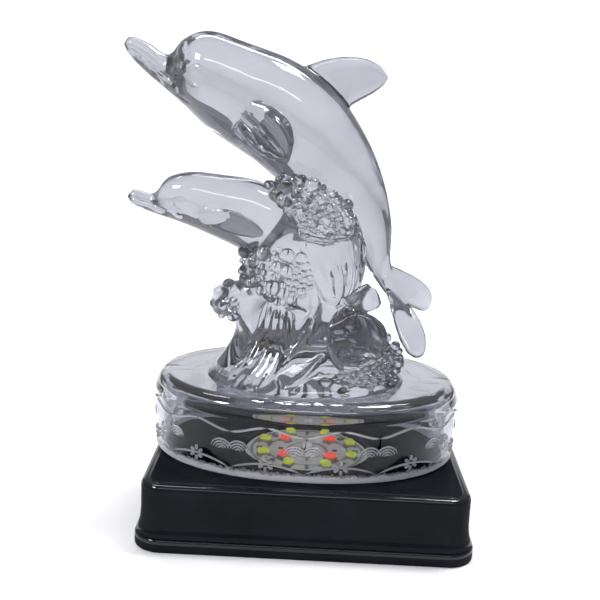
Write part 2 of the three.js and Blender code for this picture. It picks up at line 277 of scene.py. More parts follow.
class Finish:
    """A node material with one Principled shader."""

    def __init__(self, name, values):
        self.material = bpy.data.materials.new(name)
        self.material.use_nodes = True
        self.tree = self.material.node_tree
        self.shader = self.tree.nodes["Principled BSDF"]
        for socket, value in values.items():
            self.shader.inputs[socket].default_value = value
        self.place = self.node("ShaderNodeTexCoord", {}, {})["Object"]

    def node(self, kind, settings, inputs):
        """Adds a node and returns its outputs, by index or by name, as terms."""
        node = self.tree.nodes.new(kind)
        for setting, value in settings.items():
            if setting == "stops":
                ramp = node.color_ramp
                while len(ramp.elements) < len(value):
                    ramp.elements.new(0.5)
                for element, (position, colour) in zip(ramp.elements, value):
                    element.position, element.color = position, colour
            else:
                setattr(node, setting, value)
        for socket, value in inputs.items():
            if isinstance(value, Term):
                self.tree.links.new(value.socket, node.inputs[socket])
            else:
                node.inputs[socket].default_value = value
        terms = {i: Term(self, output) for i, output in enumerate(node.outputs)}
        terms.update({output.name: Term(self, output) for output in reversed(node.outputs)})
        return terms

    def noise(self, size, detail=2.0, roughness=0.5, place=None):
        """Soft random grey, with features about size metres across."""
        settings = {"Vector": place or self.place, "Scale": 1 / size, "Detail": detail}
        settings["Roughness"] = roughness
        return self.node("ShaderNodeTexNoise", {}, settings)["Fac"]

    def height_of_place(self):
        return self.node("ShaderNodeSeparateXYZ", {}, {0: self.place})["Z"]

    def ramp(self, factor, stops):
        return self.node("ShaderNodeValToRGB", {"stops": stops}, {"Fac": factor})["Color"]

    def mixed(self, factor, first, second):
        settings = {"data_type": "RGBA", "clamp_factor": True}
        return self.node("ShaderNodeMix", settings, {0: factor, 6: first, 7: second})[2]

    def link(self, socket, term):
        self.tree.links.new(term.socket, self.shader.inputs[socket])

    def covered(self, share, colour):
        """Lays a matt film of one colour over part of the surface."""
        film = self.tree.nodes.new("ShaderNodeBsdfPrincipled")
        film.inputs["Base Color"].default_value = colour
        film.inputs["Roughness"].default_value = 0.7
        mix = self.tree.nodes.new("ShaderNodeMixShader")
        self.tree.links.new(share.socket, mix.inputs[0])
        self.tree.links.new(self.shader.outputs[0], mix.inputs[1])
        self.tree.links.new(film.outputs[0], mix.inputs[2])
        self.tree.links.new(mix.outputs[0], self.tree.nodes["Material Output"].inputs["Surface"])

    def bump(self, height, strength, distance):
        inputs = {"Height": height, "Strength": strength, "Distance": distance}
        self.link("Normal", self.node("ShaderNodeBump", {}, inputs)["Normal"])


# ---------------------------------------------------------------- finishes

def acrylic_finish(name, gloss, satin, clearness=1.0):
    """Polished clear acrylic, cool grey, with a frosted band round the plinth's bottom edge.

    Gloss is how strongly it mirrors head on, satin how much of a matt skin lies all over it, and
    clearness how much of its tint's light comes through, all from 0 to 1.
    """
    finish = Finish(name, {
        "IOR": 1.49, "Transmission Weight": 1.0, "Specular Tint": (gloss, gloss, gloss, 1),
    })
    ragged = finish.noise(0.0012, 2, 0.6)
    edge = finish.height_of_place() - (ragged - 0.5) * (2.6 * MM)
    frost = (edge * -1 + (PLINTH["bottom"] + 2.2) * MM) > 0
    cloud = finish.ramp(finish.noise(0.018, 2), [
        (0.3, (*(Vector((0.41, 0.425, 0.47)) * clearness), 1)),
        (0.7, (*(Vector((0.48, 0.495, 0.54)) * clearness), 1)),
    ])
    finish.link("Base Color", finish.mixed(frost, cloud, (0.93, 0.93, 0.97, 1)))
    film = finish.noise(0.006, 4, 0.6)
    finish.link("Roughness", frost * 0.75 + film * 0.04)
    ripple = finish.noise(0.010, 1)
    frost_grain = finish.noise(0.0005, 2) * frost * 0.3
    finish.bump(ripple + frost_grain, 0.2, 0.0008)
    skin = frost * 0.34 + frost * (ragged > 0.5) * 0.12 + satin
    finish.covered(skin, (0.86, 0.86, 0.9, 1))
    return finish.material


def housing_finish():
    """Gloss black moulding, brightest on its edges, with smears and a few fine scratches."""
    finish = Finish("gloss_black_plastic", {
        "IOR": 1.5, "Specular IOR Level": 0.0, "Coat Roughness": 0.08,
    })
    smear = finish.noise(0.02, 4, 0.65)
    finish.link("Base Color", finish.ramp(smear, [
        (0.3, (0.005, 0.006, 0.008, 1)), (0.75, (0.010, 0.012, 0.016, 1)),
    ]))
    stretched = finish.node("ShaderNodeMapping", {}, {
        "Vector": finish.place, "Rotation": (0.2, 0.1, 0.6), "Scale": (1, 14, 14),
    })["Vector"]
    scratch = finish.noise(0.006, 3, 0.7, stretched)
    dust = finish.noise(0.0006, 2) > 0.72
    finish.link("Roughness", smear * 0.16 + 0.09 + dust * 0.25 + (scratch > 0.66) * 0.10)
    height = finish.height_of_place()
    foot_edge = (height > 2.6 * MM) - (height > 5.4 * MM)
    deck_edge = (height > 18.9 * MM) - (height > (DECK - 0.06) * MM)
    # Under the plinth the deck stays dull.
    middle = TO_FRAME @ at(*PLINTH["centre"], 0)
    reach_x, reach_y = ((PLINTH[key] - 1.5) * MM for key in ("half_width", "half_depth"))
    plan = finish.node("ShaderNodeMapping", {}, {
        "Vector": finish.place, "Scale": (1 / reach_x, 1 / reach_y, 0),
        "Location": (-middle.x / reach_x, -middle.y / reach_y, 0),
    })["Vector"]
    reach = finish.node("ShaderNodeVectorMath", {"operation": "LENGTH"}, {0: plan})["Value"]
    finish.link("Coat Weight", (foot_edge + deck_edge) * 0.7 + (reach > 1) * 0.14)
    skin = finish.noise(0.0008, 2)
    finish.bump(skin * 0.35 + scratch * 0.25, 0.12, 0.0002)
    return finish.material


def board_finish():
    """Off-white solder mask over glass cloth, with a painted glow: it gives off a little light of
    its own to look lit, though the board is no lamp.
    """
    # The emission is a painted glow that brightens the board in the shaded well under the clear
    # moulding.
    finish = Finish("board_mask_painted_glow", {
        "IOR": 1.5, "Emission Color": (0.9, 0.88, 0.78, 1), "Emission Strength": 0.26,
    })
    mottle = finish.noise(0.004, 3)
    finish.link("Base Color", finish.ramp(mottle, [
        (0.35, (0.80, 0.78, 0.66, 1)), (0.7, (0.92, 0.90, 0.79, 1)),
    ]))
    weave = finish.noise(0.0005, 1)
    finish.link("Roughness", mottle * 0.2 + 0.35)
    finish.bump(weave, 0.15, 0.0001)
    return finish.material


def solder_finish():
    finish = Finish("tinned_copper", {"Metallic": 1.0})
    mottle = finish.noise(0.001, 3)
    finish.link("Base Color", finish.ramp(mottle, [
        (0.3, (0.42, 0.40, 0.36, 1)), (0.7, (0.70, 0.69, 0.66, 1)),
    ]))
    finish.link("Roughness", mottle * 0.3 + 0.25)
    finish.bump(mottle, 0.2, 0.0001)
    return finish.material


def coloured_finish(name, dark, light, painted_glow=0.0, roughness=0.3):
    """Small moulded parts of one colour: chip bodies, lenses and resistors. A part given a glow
    shines in its own colour with painted light, though it is no lamp.
    """
    finish = Finish(name, {"IOR": 1.5, "Emission Strength": painted_glow})
    mottle = finish.noise(0.0012, 2)
    colour = finish.ramp(mottle, [(0.3, dark), (0.7, light)])
    finish.link("Base Color", colour)
    # The emission here is a painted glow in the part's own colour.
    if painted_glow:
        finish.link("Emission Color", colour)
    finish.link("Roughness", mottle * 0.2 + roughness)
    finish.bump(mottle, 0.1, 0.0001)
    return finish.material


def floor_finish():
    finish = Finish("pale_floor", {})
    mottle = finish.noise(0.15, 3)
    finish.link("Base Color", finish.ramp(mottle, [
        (0.2, (0.86, 0.86, 0.865, 1)), (0.8, (0.90, 0.90, 0.905, 1)),
    ]))
    finish.link("Roughness", mottle * 0.1 + 0.6)
    return finish.material


# ---------------------------------------------------------------- finished pieces

def finished(name, mesh, materials, replaced=()):
    """Makes the mesh a piece that stands for its CAD nodes."""
    mesh.name = name
    piece = bpy.data.objects.new(name, mesh)
    bpy.context.scene.collection.objects.link(piece)
    for material in materials:
        mesh.materials.append(material)
    mesh.shade_smooth()
    mesh.set_sharp_from_angle(angle=SHARP_EDGE)
    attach(piece, "root")
    if replaced:
        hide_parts(*replaced)


# ---------------------------------------------------------------- black housing

def housing_plan(turn, radius):
    """Rounded rectangle outside, circle inside the well's wall."""
    if radius <= WELL["radius"] + WELL["wall"] + 0.1:
        return round_plan(turn, radius)
    per_corner = HOUSING["corner_steps"] + 1
    step = round(turn * 4 * per_corner) % (4 * per_corner)
    quarter, along = divmod(step, per_corner)
    angle = (quarter + along / HOUSING["corner_steps"]) * math.pi / 2
    sign_x = 1 if quarter in (0, 3) else -1
    sign_y = 1 if quarter < 2 else -1
    corner = HOUSING["corner"] - (HOUSING["half_width"] - radius)
    return (
        sign_x * (HOUSING["half_width"] - HOUSING["corner"]) + corner * math.cos(angle),
        sign_y * (HOUSING["half_depth"] - HOUSING["corner"]) + corner * math.sin(angle),
    )


def light_base():
    half, foot, flare = HOUSING["half_width"], HOUSING["foot"], HOUSING["flare"]
    side = half - flare
    shoulder = HOUSING["shoulder"]
    rim_top = DECK - HOUSING["panel"]
    well_bottom = DECK - WELL["depth"]
    inner = side - HOUSING["wall"]
    ceiling = DECK - HOUSING["wall"]
    boss = WELL["radius"] + WELL["wall"]
    cove_rise = HOUSING["cove"] - foot
    cove = [
        (side + flare * (1 - math.sin(t)), foot + 0.2 + cove_rise * (1 - math.cos(t)))
        for t in [i / 8 * math.pi / 2 for i in range(1, 9)]
    ]
    profile = [
        (0, well_bottom),
        (WELL["radius"] - 0.2, well_bottom),
        (WELL["radius"], well_bottom + 0.2),
        (WELL["radius"], DECK - 0.25),
        (WELL["radius"] + 0.25, DECK),
        (side - shoulder - 1.25, DECK),
        *arc(side - shoulder - 1.2, DECK - 0.15, 0.15, 3, math.pi / 2, 0),
        *arc(side - shoulder - 0.9, rim_top + 0.15, 0.15, 3, math.pi, 1.5 * math.pi),
        *arc(side - shoulder, rim_top - shoulder, shoulder, 8, math.pi / 2, 0),
        *cove[::-1],
        *arc(half - 0.75, foot - 0.75, 0.75, 5, math.pi / 2, 0),
        *arc(half - 0.5, 0.5, 0.5, 4, 0, -math.pi / 2),
        (inner + 0.3, 0),
        (inner, 0.3),
        (inner, ceiling - 1),
        (inner - 1, ceiling),
        (boss + 0.2, ceiling),
        (boss, ceiling - 0.3),
        (boss, well_bottom - WELL["floor"] + 0.3),
        (boss - 0.3, well_bottom - WELL["floor"]),
        (0, well_bottom - WELL["floor"]),
    ]
    bm = turned(profile, housing_plan, 4 * (HOUSING["corner_steps"] + 1))
    mesh = mesh_from(bm, "light_base", placed=True)
    finished("light_base", mesh, [housing_finish()], ["base_housing"])


# ---------------------------------------------------------------- board and light chips

CHIP_RINGS = [
    ("white", 1, 0, 0),
    ("red", 4, 10.4, math.pi / 4),
    ("green", 8, 15, math.pi / 8),
]


def block(bm, size, centre, turn=0.0, bevel=0.12):
    """A small bevelled box that stands at the centre, turned about Z."""
    place = Matrix.Rotation(turn, 4, "Z") @ Matrix.Translation(centre)
    matrix = place @ Matrix.Diagonal((*size, 1))
    verts = bmesh.ops.create_cube(bm, size=1, matrix=matrix)["verts"]
    edges = {edge for vert in verts for edge in vert.link_edges}
    bmesh.ops.bevel(
        bm, geom=list(edges), offset=bevel, offset_type="OFFSET", affect="EDGES", segments=2,
        profile=0.5, material=-1,
    )


def circuit_board():
    edge = BOARD_RADIUS
    profile = [
        (0, BOARD_BOTTOM),
        (edge - 0.15, BOARD_BOTTOM),
        (edge, BOARD_BOTTOM + 0.15),
        (edge, BOARD_TOP - 0.15),
        (edge - 0.15, BOARD_TOP),
        (0, BOARD_TOP),
    ]
    mesh = mesh_from(turned(profile, round_plan, 96), "circuit_board", placed=True)
    finished("circuit_board", mesh, [board_finish()], ["light_board"])


def solder_rings():
    """Tinned rings that feed the chips, and the pads under them."""
    bm = bmesh.new()
    for radius, width in [(6.2, 0.7), (12.8, 0.6), (17.9, 0.9)]:
        low, high = BOARD_TOP + 0.02, BOARD_TOP + 0.09
        profile = [
            (radius - width / 2, low), (radius + width / 2, low),
            (radius + width / 2, high), (radius - width / 2, high), (radius - width / 2, low),
        ]
        ring = turned(profile, round_plan, 96)
        mesh = mesh_from(ring, "ring")
        bm.from_mesh(mesh)
    for _, count, radius, start in CHIP_RINGS:
        for i in range(count):
            for side in (-1, 1):
                centre = (radius + side * 1.55, 0, BOARD_TOP + 0.12)
                block(bm, (0.8, 3.2, 0.2), centre, start + i / count * 2 * math.pi, 0.05)
    mesh = mesh_from(bm, "solder_rings", placed=True)
    finished("solder_rings", mesh, [solder_finish()])


def resistors():
    """Small ceramic resistors between the chips."""
    bm = bmesh.new()
    for i in range(8):
        turn = i / 8 * 2 * math.pi
        block(bm, (2.0, 1.25, 0.55), (15.4, 0, BOARD_TOP + 0.4), turn, 0.08)
    for i in range(4):
        turn = i / 4 * 2 * math.pi
        block(bm, (1.6, 0.8, 0.45), (8.6, 0, BOARD_TOP + 0.35), turn, 0.06)
    material = coloured_finish(
        "resistor_ceramic", (0.30, 0.30, 0.28, 1), (0.42, 0.42, 0.40, 1), roughness=0.5
    )
    mesh = mesh_from(bm, "board_resistors", placed=True)
    finished("board_resistors", mesh, [material])


def light_chips():
    """Each chip is a cream package with a domed lens of its own colour set in its top, and the lens
    shines with a painted glow in that colour.
    """
    cream = coloured_finish("chip_package", (0.62, 0.60, 0.52, 1), (0.78, 0.76, 0.68, 1))
    # Each lens gets a painted glow in its own colour, so that it stands out on the board.
    lenses = {
        colour: coloured_finish(f"chip_lens_painted_glow_{colour}", dark, light, painted_glow)
        for colour, dark, light, painted_glow in (
            ("white", (0.85, 0.80, 0.75, 1), (1, 0.95, 0.9, 1), 0.5),
            ("red", (0.90, 0.04, 0.02, 1), (1, 0.10, 0.05, 1), 1.4),
            ("green", (0.50, 0.58, 0.03, 1), (0.70, 0.76, 0.08, 1), 0.9),
        )
    }
    for colour, count, radius, start in CHIP_RINGS:
        for i in range(count):
            node = f"light_chip_{colour}_{i + 1}"
            low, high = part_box(node)
            bottom, top = low[2] / MM, high[2] / MM
            turn = start + i / count * 2 * math.pi
            package = 0.7
            bm = bmesh.new()
            block(bm, (3.5, 2.8, package), (radius, 0, bottom + package / 2), turn)
            lens_faces = len(bm.faces)
            lens = top - bottom - package + 0.1
            block(bm, (3.0, 2.5, lens), (radius, 0, top - lens / 2), turn, 0.3)
            bm.faces.ensure_lookup_table()
            for face in bm.faces[lens_faces:]:
                face.material_index = 1
            mesh = mesh_from(bm, node, placed=True)
            finished(f"lit_{node}", mesh, [cream, lenses[colour]], [node])


# ---------------------------------------------------------------- dolphins

BIG = {
    "lane": 3,
    "stations": [
        (-61.3, 143, -61.3, 143),
        (-59.3, 145.2, -59.5, 140),
        (-53.5, 143.6, -54.5, 135.2),
        (-47.7, 140.6, -48.6, 130.6),
        (-43, 145.4, -42.8, 126),
        (-36, 148, -36, 120),
        (-23, 144.8, -28.8, 115.2),
        (-9, 140.1, -20.5, 110.2),
        (3.5, 131.8, -12, 103.5),
        (13, 119.5, -5.5, 97.5),
        (19.3, 106.3, 2, 92.3),
        (22.7, 92.7, 10.5, 86.6),
        (23.4, 80, 15.7, 79),
        (27.5, 70, 24.5, 68.5),
        (29.5, 67, 29.5, 67),
    ],
    "breadth": [0.9, 0.8, 0.9, 0.88, 0.86, 0.86, 0.8, 0.6],
}
SMALL = {
    "lane": -8,
    "stations": [
        (-57.8, 98.7, -57.8, 98.7),
        (-55.6, 101, -56, 96.6),
        (-49.8, 100.1, -50.3, 94.3),
        (-45.6, 104.9, -45.4, 92.9),
        (-39, 106.9, -39.3, 91),
        (-29, 106.5, -31.5, 88),
        (-19, 105.3, -23, 84.3),
        (-8, 100, -16, 79.5),
        (0, 90, -11, 74),
        (5, 78, -6, 68),
        (6.8, 68, -0.5, 62),
        (7.5, 60, 7.5, 60),
    ],
    "breadth": [0.95, 0.85, 0.9, 0.9, 0.86, 0.7, 0.6],
}


def body(bm, dolphin, around, along):
    lane = dolphin["lane"]
    back = [at(x, lane, z) for x, z, _, _ in dolphin["stations"]]
    belly = [at(x, lane, z) for _, _, x, z in dolphin["stations"]]
    between(
        bm, lambda s: flowing(back, s), lambda s: flowing(belly, s), dolphin["breadth"], around,
        along,
    )


def fin(bm, front, rear, thickness, dish=0.0):
    """A blade whose front and rear edges run from their roots to one tip."""
    chord, span = front[0] - rear[0], front[3] - rear[0]
    root = (front[0] + rear[0]) / 2
    def rail(points):
        return [root] + [cubic(points, i / 6) for i in range(7)]
    ahead, behind = rail(front), rail(rear)
    breadth = [thickness, thickness, 0.9 * thickness, thickness]
    between(
        bm, lambda s: flowing(ahead, s), lambda s: flowing(behind, s), breadth, 28, 36,
        chord.cross(span).normalized(), dish,
    )


def big_dolphin(bm):
    y = BIG["lane"]
    body(bm, BIG, 72, 140)
    fin(bm,
        [at(-10, y, 137), at(0, y, 144), at(15.5, y, 145), at(19, y, 136.8)],
        [at(6, y, 126), at(9, y, 130), at(16.5, y, 131.3), at(19, y, 136.8)], 0.2)
    fin(bm,
        [at(-27.5, -7, 127), at(-17, -13, 130.5), at(-4.5, -17, 126), at(-9.5, -17, 111)],
        [at(-25.5, -7, 118.5), at(-20.5, -12, 116), at(-14, -16, 110), at(-9.5, -17, 111)],
        0.24, dish=0.45)
    # Folds that run down the near flipper.
    for fold in (
        [(-25, -8.5, 125.2), (-19.8, -14, 121), (-14.6, -17, 116.2), (-10.8, -17.4, 112.7)],
        [(-19.5, -10.5, 126), (-14.2, -15.8, 123), (-10.6, -17.6, 118.4), (-9.9, -17.4, 114)],
        [(-25.6, -7.5, 122.4), (-22, -12.6, 118), (-17.4, -16, 114.2), (-12.3, -17.2, 111.9)],
    ):
        strand(bm, [at(*place) for place in fold], [0.7, 1.0, 0.9, 0.6], along=30)
    fin(bm,
        [at(-27.5, 13, 125), at(-20, 19, 127), at(-9, 24, 122), at(-12, 25, 109)],
        [at(-26, 13, 117), at(-23, 18, 114), at(-17, 23, 108.5), at(-12, 25, 109)],
        0.24, dish=0.45)
    fin(bm,
        [at(21, y, 80.5), at(28, 8, 77.5), at(41, 13, 73), at(38.7, 16, 64)],
        [at(26, y, 67), at(30.5, 5, 67.8), at(35.5, 12, 60.5), at(38.7, 16, 64)],
        0.26, dish=0.3)
    fin(bm,
        [at(20, y, 80), at(22.5, -4, 73), at(24.5, -13, 55), at(31.8, -13.5, 54)],
        [at(27, y, 66), at(33, -2, 69), at(38.5, -10, 55), at(31.8, -13.5, 54)],
        0.26, dish=0.3)


def small_dolphin(bm):
    body(bm, SMALL, 60, 110)
    fin(bm,
        [at(-36, -15.3, 95.5), at(-29, -18.5, 100.5), at(-19, -20.5, 97), at(-14.5, -20, 90.5)],
        [at(-34, -15.3, 92.5), at(-30, -17.5, 91.5), at(-22, -20, 88.5), at(-14.5, -20, 90.5)],
        0.3, dish=0.35)
    # The two lobes of its flukes, which spread out against the wave with a rim round each.
    joint = at(8, -12, 70.5)
    upper_lead = [joint, at(9, -16.5, 73.2), at(12, -18, 76.5), at(16.5, -17, 78.8)]
    upper_trail = [joint, at(13.5, -17, 68.6), at(19.3, -18, 71.5), at(16.5, -17, 78.8)]
    lower_lead = [
        joint, at(4.4, -17.5, 65.5), at(3.9, -20, 58.5), at(7.5, -21, 52), at(14.5, -20.5, 52.5),
        at(21, -19, 58),
    ]
    lower_trail = [
        joint, at(12, -16.5, 69.4), at(17.5, -17.5, 68), at(21, -18, 65), at(22, -18.5, 61),
        at(21, -19, 58),
    ]
    for lead, trail in ((upper_lead, upper_trail), (lower_lead, lower_trail)):
        between(
            bm, lambda s: flowing(lead, s), lambda s: flowing(trail, s), [0.2, 0.22, 0.2], 40, 44,
            dish=0.7,
        )


# ---------------------------------------------------------------- wave

WATER_SIDES = [
    (-33, 29, PLINTH["top"] - 1),
    (-26, 25, 50),
    (-20, 20, 59),
    (-19, 15, 70),
    (-19, 14, 82),
    (-14, 12, 94),
    (-9, 7, 102),
]
WATER_LANE = -3
WATER_DEPTH = [0.7, 0.72, 0.68, 0.72, 0.75, 0.8]


def water_rails():
    low, high = at(-2, WATER_LANE, PLINTH["top"] - 3), at(-3, -1, 107)
    left = [low] + [at(x, WATER_LANE, z) for x, _, z in WATER_SIDES] + [high]
    right = [low] + [at(x, WATER_LANE, z) for _, x, z in WATER_SIDES] + [high]
    return left, right


def on_water(x, z, face=-1, proud=0.0):
    """The point of the water's front (-1) or back (1) surface at x and z."""
    left, right = water_rails()
    s = min((i / 200 for i in range(201)), key=lambda t: abs(flowing(left, t).z - z))
    low, high = flowing(left, s).x, flowing(right, s).x
    half = (high - low) / 2
    offset = max(-0.97, min(0.97, (x - (low + high) / 2) / half))
    depth = half * graded(WATER_DEPTH, s) * math.sqrt(1 - offset * offset)
    return at(x, WATER_LANE + face * (depth + proud), z)


def laid(places, face=-1, proud=0.0):
    return [on_water(x, z, face, proud) for x, z in places]


def flutes(bm, first, last, count, radius, face=-1, proud=0.0):
    """Strands of water laid on the surface, blended from the first route to the last."""
    for i in range(count):
        share = i / (count - 1)
        route = [
            (x0 + (x1 - x0) * share, z0 + (z1 - z0) * share)
            for (x0, z0), (x1, z1) in zip(first, last)
        ]
        swell = radius * (1 + 0.18 * math.sin(2.4 * i))
        strand(bm, laid(route, face, proud), [0.7 * swell, swell, 1.1 * swell, 0.8 * swell])


def wave(bm):
    left, right = water_rails()
    between(
        bm, lambda s: flowing(left, s), lambda s: flowing(right, s), WATER_DEPTH, 64, 70,
    )
    strand(
        bm,
        [at(-14, -9, 76), at(-20, -9, 70), at(-20, -8, 60), at(-22.5, -8, 51), at(-28, -8, 41)],
        [5, 5, 4, 5, 7], 28, 40, 1.4,
    )
    strand(
        bm,
        [at(-16, -9, 72), at(-22, -10, 71.5), at(-26.5, -9.5, 69), at(-25.5, -9, 65)],
        [4, 4, 5, 4.6], 28, 30, 1.4,
    )
    # Falling water below the upper foam.
    flutes(
        bm,
        [(-6, 92), (-3, 84), (1, 76.5), (4, 70)],
        [(13.6, 90), (13.8, 83), (12.6, 76), (9, 69)],
        9, 1.15, proud=0.2,
    )
    # The run of water from the curl down to the plinth.
    flutes(
        bm,
        [(-17, 70), (-17.5, 60), (-21, 51), (-29, 45)],
        [(-8, 68), (-8.5, 59), (-11, 51), (-16, 44.5)],
        6, 1.5, proud=0.1,
    )
    # Long ridges that sweep down the smooth face, and its upper lip.
    for route in (
        [(-0.9, 67.3), (-2, 62), (-5.2, 57), (-9.2, 52), (-14.2, 47.6)],
        [(4.5, 56.5), (0.8, 52.7), (-3.2, 48.8), (-9.8, 45)],
        [(-12.5, 70.4), (-7, 68.4), (-1.2, 67.4)],
    ):
        strand(bm, laid(route, proud=-0.1), [0.5, 0.85, 0.95, 0.7], along=40)
    # The smooth lip below the upper foam.
    strand(
        bm,
        [at(-15, -11, 104), at(-11.5, -13, 98), at(-7, -14, 92.5), at(0, -14.8, 90),
         at(6.5, -14.2, 90.2), at(12.6, -11.5, 91)],
        [0.8, 1.1, 1.1, 0.8], along=50,
    )
    # Plainer water on the back.
    flutes(
        bm,
        [(-14, 84), (-15, 70), (-18, 56), (-24, 45)],
        [(8, 82), (9, 68), (9, 56), (5, 45)],
        5, 2.8, face=1, proud=-1.2,
    )


# ---------------------------------------------------------------- foam

FOAM = [
    # x, y, z, half width, half height, swell (negative to the front), tilt, bubbles
    (-2.5, -9, 98, 15, 7.5, -8, -0.45, 85),
    (-11, -11, 79.5, 12, 9.5, -8, -0.3, 85),
    (13, -12.5, 49.5, 15.5, 6.8, -8.5, 0.48, 125),
    (-26, -10, 69, 4.5, 5, -7, 0, 26),
    (-3, 6, 92, 12, 8, 11, -0.3, 50),
    (11, 10, 50, 14, 7, 9, 0.2, 50),
]


def foam_place(patch, u, v, w):
    """The place of a unit ball's point (u, v, w) on a foam patch, with w its swell outwards."""
    x, y, z, width, height, swell, tilt = patch
    across = u * width * math.cos(tilt) - v * height * math.sin(tilt)
    up = u * width * math.sin(tilt) + v * height * math.cos(tilt)
    return at(x + across, y + w * swell, z + up)


def foam_cushions(bm):
    for *patch, _ in FOAM:
        verts = bmesh.ops.create_uvsphere(bm, u_segments=32, v_segments=20, radius=0.92)["verts"]
        for vert in verts:
            vert.co = foam_place(patch, *vert.co)


def bubble_places():
    """Bubbles thrown on the foam cushions, each kept if it isn't too deep in an earlier one."""
    chance = random.Random(7)
    for *patch, count in FOAM:
        kept = []
        for _ in range(count * 40):
            spread, angle = math.sqrt(chance.random()), chance.random() * 2 * math.pi
            radius = 0.8 + 1.9 * chance.random() ** 1.8
            u, v = spread * math.cos(angle), spread * math.sin(angle)
            centre = foam_place(patch, u, v, 0.9 * math.sqrt(1 - 0.96 * spread * spread))
            if all((centre - other).length > 0.66 * (radius + size) for other, size in kept):
                kept.append((centre, radius))
            if len(kept) == count:
                break
        yield from kept


def bubbles():
    """Small balls for the foam, each a mesh of its own for the joining cut."""
    for centre, radius in bubble_places():
        bm = bmesh.new()
        bmesh.ops.create_icosphere(
            bm, subdivisions=3, radius=radius, matrix=Matrix.Translation(centre)
        )
        yield mesh_from(bm, "bubble")


# ---------------------------------------------------------------- plinth and its frieze

def oval(turn, inset):
    angle = turn * 2 * math.pi
    power = 2 / PLINTH["power"]
    x, y = math.cos(angle), math.sin(angle)
    return Vector((
        PLINTH["centre"][0] + (PLINTH["half_width"] - inset) * math.copysign(abs(x) ** power, x),
        PLINTH["centre"][1] + (PLINTH["half_depth"] - inset) * math.copysign(abs(y) ** power, y),
        0,
    ))


def oval_plan(turn, radius):
    place = oval(turn, PLINTH["half_width"] - radius)
    return place.x, place.y


def plinth_body():
    half, bottom, rim, top = (PLINTH[key] for key in ("half_width", "bottom", "rim", "top"))
    draft, lead, bevel = PLINTH["draft"], PLINTH["lead"], PLINTH["bevel"]
    profile = [
        (0, bottom),
        (half - draft - lead, bottom),
        (half - draft, bottom + lead),
        (half - draft + 0.02, bottom + lead + 0.4),
        (half - 0.12, rim - 1.6),
        (half - 0.1, rim - 1.2),
        (half - 0.02, rim - 0.3),
        (half - 0.2, rim + 0.2),
        (half - 0.55, rim + 1.0),
        (half - 1.0, rim + 2.1),
        (half - 1.6, rim + 3.1),
        (half - bevel, top - 0.6),
        (half - bevel - 1.0, top - 0.15),
        (half - bevel - 2.2, top),
        (half - bevel - 2.8, top),
        (0, top),
    ]
    return mesh_from(turned(profile, oval_plan, PLINTH["steps"]), "plinth")


def plinth_hollow():
    half, bottom, top, wall = (PLINTH[key] for key in ("half_width", "bottom", "top", "wall"))
    profile = [
        (0, bottom - 1),
        (half - wall, bottom - 1),
        (half - wall, top - wall - 1.6),
        (half - wall, top - wall - 1.2),
        (half - wall - 0.35, top - wall - 0.35),
        (half - wall - 1.2, top - wall),
        (half - wall - 1.6, top - wall),
        (0, top - wall),
    ]
    return mesh_from(turned(profile, oval_plan, PLINTH["steps"]), "plinth_hollow")


def even_turns():
    """Turns round the oval that are even steps of its girth, by looking up its running length."""
    count = 1440
    turns = np.arange(count + 1) / count
    ring = [oval(turn, 0) for turn in turns]
    lengths = [0.0]
    for start, end in zip(ring, ring[1:]):
        lengths.append(lengths[-1] + (end - start).length)
    girth = lengths[-1]
    front = lengths[count * 3 // 4]

    def turn_at(share):
        """The turn at a share of the girth, counted from the middle of the front."""
        return float(np.interp((front + share * girth) % girth, lengths, turns))
    return turn_at, girth


TURN_AT, GIRTH = even_turns()


def on_wall(run, height, proud=0.0):
    """The point of the plinth's wall run millimetres round from the front's middle."""
    turn = TURN_AT(run / GIRTH)
    lean = PLINTH["draft"] * (PLINTH["rim"] - height) / (PLINTH["rim"] - PLINTH["bottom"])
    place = oval(turn, lean - proud)
    place.z = height
    return place


def wall_line(bm, places, radius, around=6, along=16):
    """A raised line on the wall through (run, height) places."""
    points = [on_wall(run, height, 0.08) for run, height in places]
    middle = points[len(points) // 2]
    outward = (middle - at(*PLINTH["centre"], middle.z)).normalized()
    strand(bm, points, [radius, radius], around, along, 1.0, outward)


def frieze():
    """Raised relief round the wall: a waved line, scallops, six-petal flowers and leaf fans."""
    bm = bmesh.new()
    period = GIRTH / REPEATS
    waved, swing = 35.8, 1.1
    scallop_low, scallop_rise = 23.2, 2.6
    line = 0.36
    for i in range(REPEATS):
        start = i * period
        steps = 12
        for step in range(2):
            share = [(step + j / steps) / 2 for j in range(steps + 1)]
            wall_line(bm, [
                (start + t * period, waved - swing * math.cos(2 * math.pi * t)) for t in share
            ], line, along=20)
        wall_line(bm, [
            (start + t * period, scallop_low + scallop_rise * math.sin(math.pi * t) ** 0.8)
            for t in (j / steps for j in range(steps + 1))
        ], line * 0.9, along=28)
        flower_run, flower_height = start + period / 2, scallop_low + scallop_rise
        for petal in range(6):
            angle = petal / 6 * 2 * math.pi + math.pi / 6
            reach = [0.75, 1.6, 2.5]
            wall_line(bm, [
                (flower_run + r * math.cos(angle), flower_height + r * math.sin(angle))
                for r in reach
            ], 0.5, 8, 8)
        for side in (-1, 1):
            for leaf in range(4):
                size = 0.8 + 0.85 * leaf
                arch = [math.pi * (0.04 + 0.92 * j / 10) for j in range(11)]
                wall_line(bm, [
                    (start + side * 2.7 + size * math.cos(a), 28.7 + size * 0.95 * math.sin(a))
                    for a in arch
                ], 0.26, 6, 16)
    return mesh_from(bm, "frieze")


